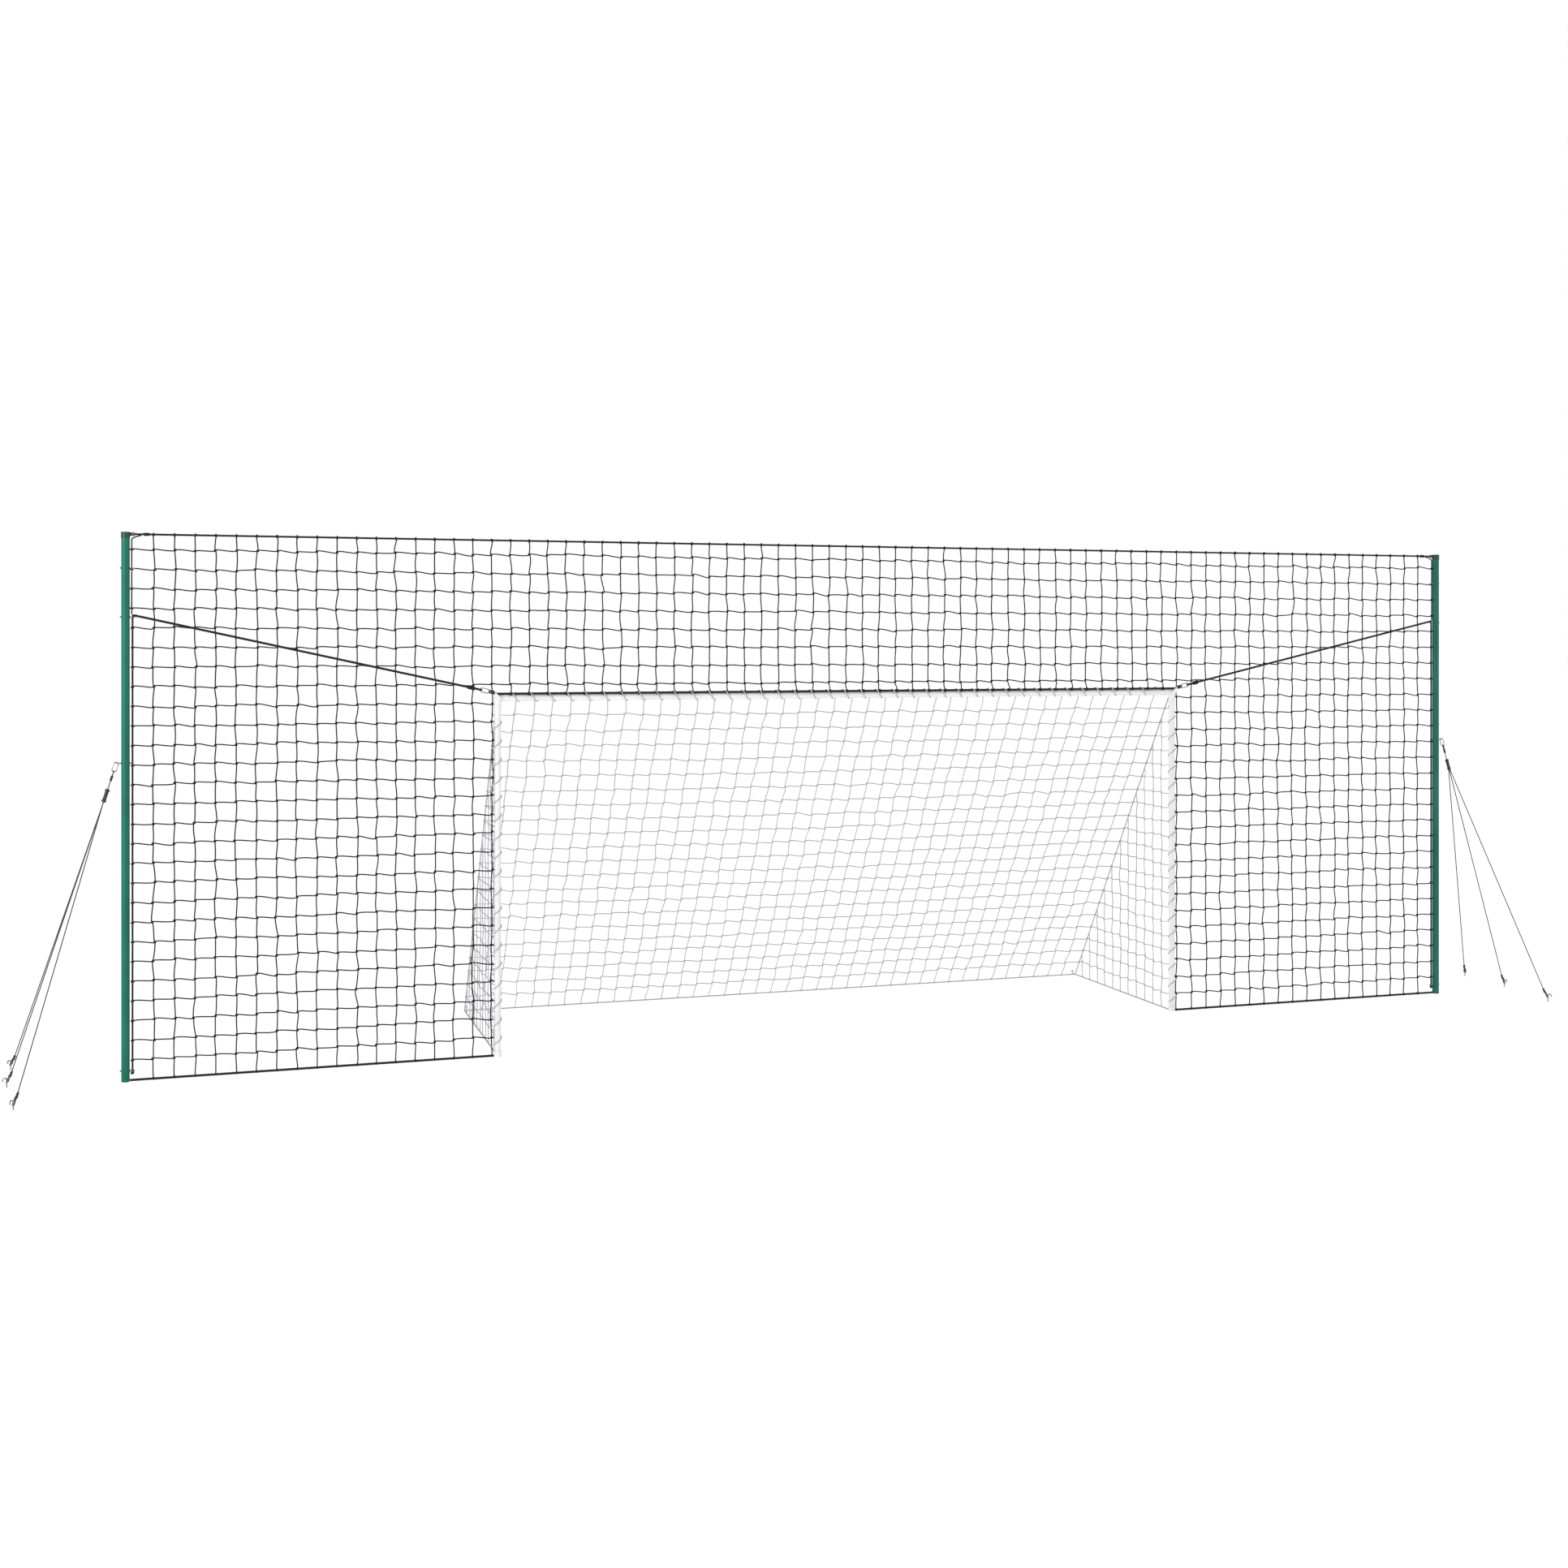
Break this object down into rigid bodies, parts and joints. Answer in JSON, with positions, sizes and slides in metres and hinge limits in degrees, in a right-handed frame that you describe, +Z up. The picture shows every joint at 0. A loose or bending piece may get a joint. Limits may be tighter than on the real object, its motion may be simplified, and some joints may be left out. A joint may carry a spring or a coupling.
{
  "type": "soccer goal with backstop net",
  "caption": "White tube soccer goal with a sloping net, set in a wide black square-mesh backstop between guyed green poles.",
  "frame": {"origin": "on the ground, under the middle of the object's bounding box", "axes": "+X to the right seen from the front, +Y away from the kicker to the back of the goal net, +Z up"},
  "size_m": [9.8364, 1.9308, 3.03],
  "materials": {
    "green_paint": "satin powder coat",
    "cap_plastic": "matt moulded",
    "black_plastic": "matt moulded",
    "steel": "zinc plated",
    "guy_rope": "braided cord",
    "black_rope": "laid rope",
    "black_net": "knotted twine",
    "white_paint": "satin powder coat",
    "white_plastic": "moulded",
    "white_net": "knotted twine",
    "white_rope": "laid rope"
  },
  "bodies": {
    "frame": {"button_carrier_left": "black_plastic", "button_carrier_right": "black_plastic", "corner_hook_left": "steel", "corner_hook_right": "steel", "corner_rings": "steel", "corner_rope_left": "black_rope", "corner_rope_right": "black_rope", "crossbar": "white_paint", "eye_bolts": "steel", "eye_nuts": "steel", "goal_back_hem": "white_rope", "goal_elbow_left": "white_plastic", "goal_elbow_right": "white_plastic", "goal_net_back": "white_net", "goal_net_pegs": "steel", "goal_net_side_left": "white_net", "goal_net_side_right": "white_net", "goal_post_feet": "white_plastic", "goal_post_left": "white_paint", "goal_post_right": "white_paint", "goal_seam_rope_left": "white_rope", "goal_seam_rope_right": "white_rope", "goal_side_hem_left": "white_rope", "goal_side_hem_right": "white_rope", "guy_hook_left": "steel", "guy_hook_right": "steel", "guy_leader_left": "guy_rope", "guy_leader_right": "guy_rope", "guy_pegs": "steel", "guy_rope_back_left": "guy_rope", "guy_rope_back_right": "guy_rope", "guy_rope_front_left": "guy_rope", "guy_rope_front_right": "guy_rope", "guy_rope_middle_left": "guy_rope", "guy_rope_middle_right": "guy_rope", "guy_tensioner_left": "black_plastic", "guy_tensioner_right": "black_plastic", "header_net": "black_net", "lintel_rope": "black_rope", "pole_cap_left": "cap_plastic", "pole_cap_right": "cap_plastic", "pole_feet": "cap_plastic", "pole_lower_left": "green_paint", "pole_lower_right": "green_paint", "pole_upper_left": "green_paint", "pole_upper_right": "green_paint", "side_rope_left": "black_rope", "side_rope_right": "black_rope", "top_rope": "black_rope", "wing_hem_rope_left": "black_rope", "wing_hem_rope_right": "black_rope", "wing_net_left": "black_net", "wing_net_right": "black_net"},
    "guy_hook_gate_left": {"guy_hook_gate_left": "steel"},
    "corner_hook_gate_left": {"corner_hook_gate_left": "steel"},
    "pole_button_left": {"pole_button_left": "steel"},
    "guy_hook_gate_right": {"guy_hook_gate_right": "steel"},
    "corner_hook_gate_right": {"corner_hook_gate_right": "steel"},
    "pole_button_right": {"pole_button_right": "steel"}
  },
  "joints": [
    {"name": "guy_hook_gate_turn_left", "type": "hinge", "parent": "frame", "child": "guy_hook_gate_left", "pos_m": [-4.33602, -0.46125, 1.7266], "axis": [0, 0.9999, 0.0114], "range_deg": [0, 25], "stiffness_Nm_per_rad": 0.02, "springref_deg": -28.65},
    {"name": "corner_hook_gate_turn_left", "type": "hinge", "parent": "frame", "child": "corner_hook_gate_left", "pos_m": [-2.30469, -0.49291, 2.15537], "axis": [0.0113, 0.9999, 0], "range_deg": [0, 25], "stiffness_Nm_per_rad": 0.02, "springref_deg": -28.65},
    {"name": "pole_button_press_left", "type": "slide", "parent": "frame", "child": "pole_button_left", "axis": [0, -1, 0], "range_m": [0, 0.0056], "stiffness_N_per_m": 1500, "springref_m": -0.002},
    {"name": "guy_hook_gate_turn_right", "type": "hinge", "parent": "frame", "child": "guy_hook_gate_right", "pos_m": [4.33602, -0.46125, 1.7266], "axis": [0, -0.9999, -0.0114], "range_deg": [0, 25], "stiffness_Nm_per_rad": 0.02, "springref_deg": -28.65},
    {"name": "corner_hook_gate_turn_right", "type": "hinge", "parent": "frame", "child": "corner_hook_gate_right", "pos_m": [2.30469, -0.49291, 2.15537], "axis": [0.0113, -0.9999, 0], "range_deg": [0, 25], "stiffness_Nm_per_rad": 0.02, "springref_deg": -28.65},
    {"name": "pole_button_press_right", "type": "slide", "parent": "frame", "child": "pole_button_right", "axis": [0, -1, 0], "range_m": [0, 0.0056], "stiffness_N_per_m": 1500, "springref_m": -0.002}
  ]
}
